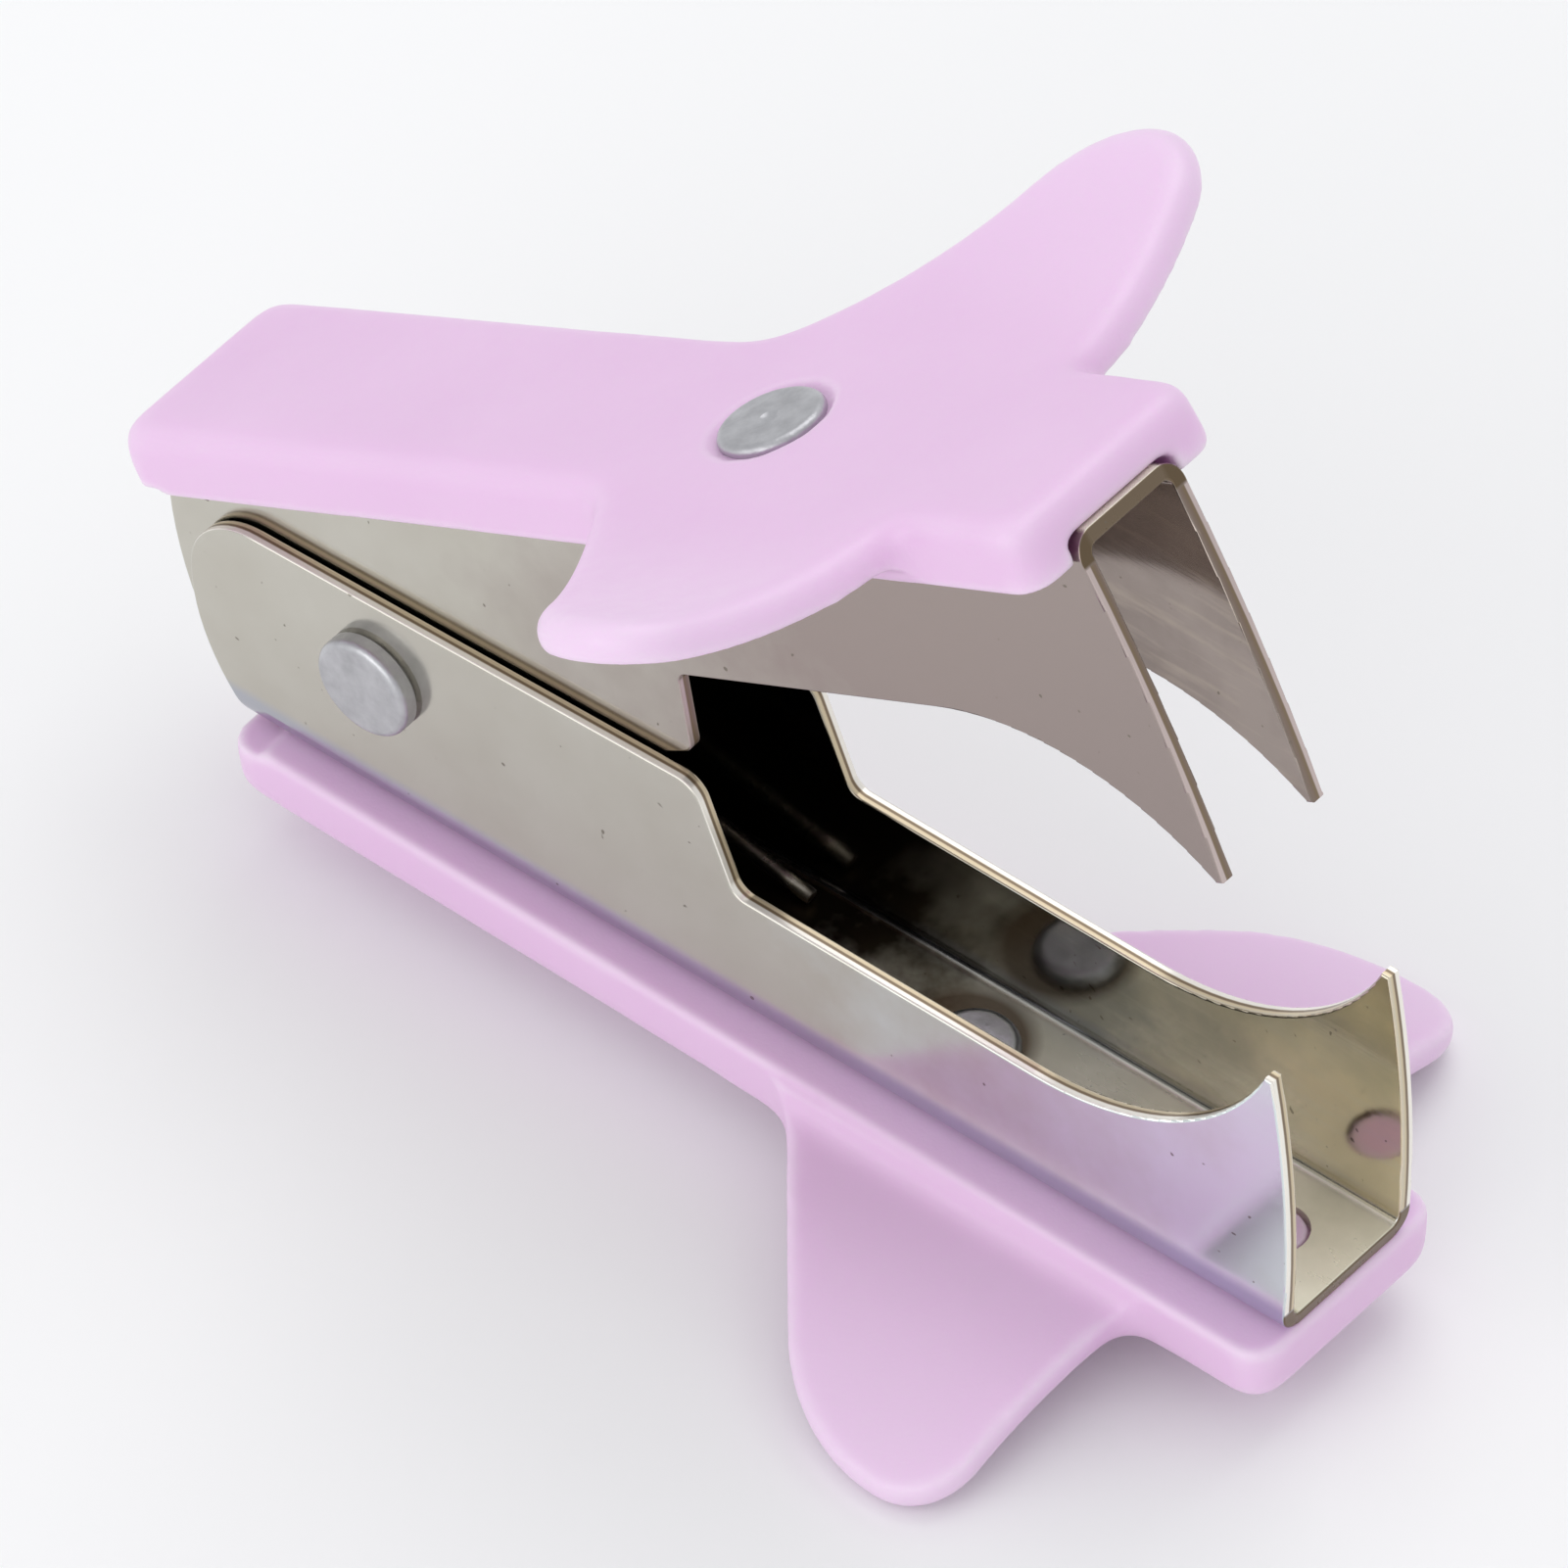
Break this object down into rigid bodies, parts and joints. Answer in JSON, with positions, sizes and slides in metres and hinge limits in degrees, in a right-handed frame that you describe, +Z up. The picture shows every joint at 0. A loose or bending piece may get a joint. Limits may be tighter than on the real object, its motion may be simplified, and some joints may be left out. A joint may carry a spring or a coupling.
{
  "type": "staple remover",
  "caption": "Hand-held jaw staple remover: two sprung U-section steel jaws with pairs of claws on one pivot rivet, each with a winged plastic finger grip.",
  "frame": {"origin": "centre of the bounding box at rest (jaws open), on the plane under the lower grip's wing tips", "axes": "+X from the pivot towards the claws along the lower jaw's web, +Y to the left along the pivot pin, +Z up from the lower jaw to the upper one"},
  "size_m": [0.0694, 0.042, 0.0515],
  "materials": {
    "nickel_steel": "bright nickel plating on stamped sheet steel",
    "grip_plastic": "satin moulded plastic, pale lilac",
    "rivet_metal": "satin",
    "spring_wire": "drawn spring wire"
  },
  "bodies": {
    "lower": {"lower_jaw": "nickel_steel", "lower_grip": "grip_plastic", "lower_grip_rivet": "rivet_metal", "pivot_pin": "rivet_metal", "torsion_spring": "spring_wire"},
    "upper": {"upper_jaw": "nickel_steel", "upper_grip": "grip_plastic", "upper_grip_rivet": "rivet_metal"}
  },
  "joints": [
    {"name": "jaw_pivot", "type": "hinge", "parent": "lower", "child": "upper", "pos_m": [-0.01996, 0, 0.0145], "axis": [0, 1, 0], "range_deg": [0, 27.2], "stiffness_Nm_per_rad": 0.042, "springref_deg": -60.16, "deforming": ["torsion_spring"]}
  ]
}
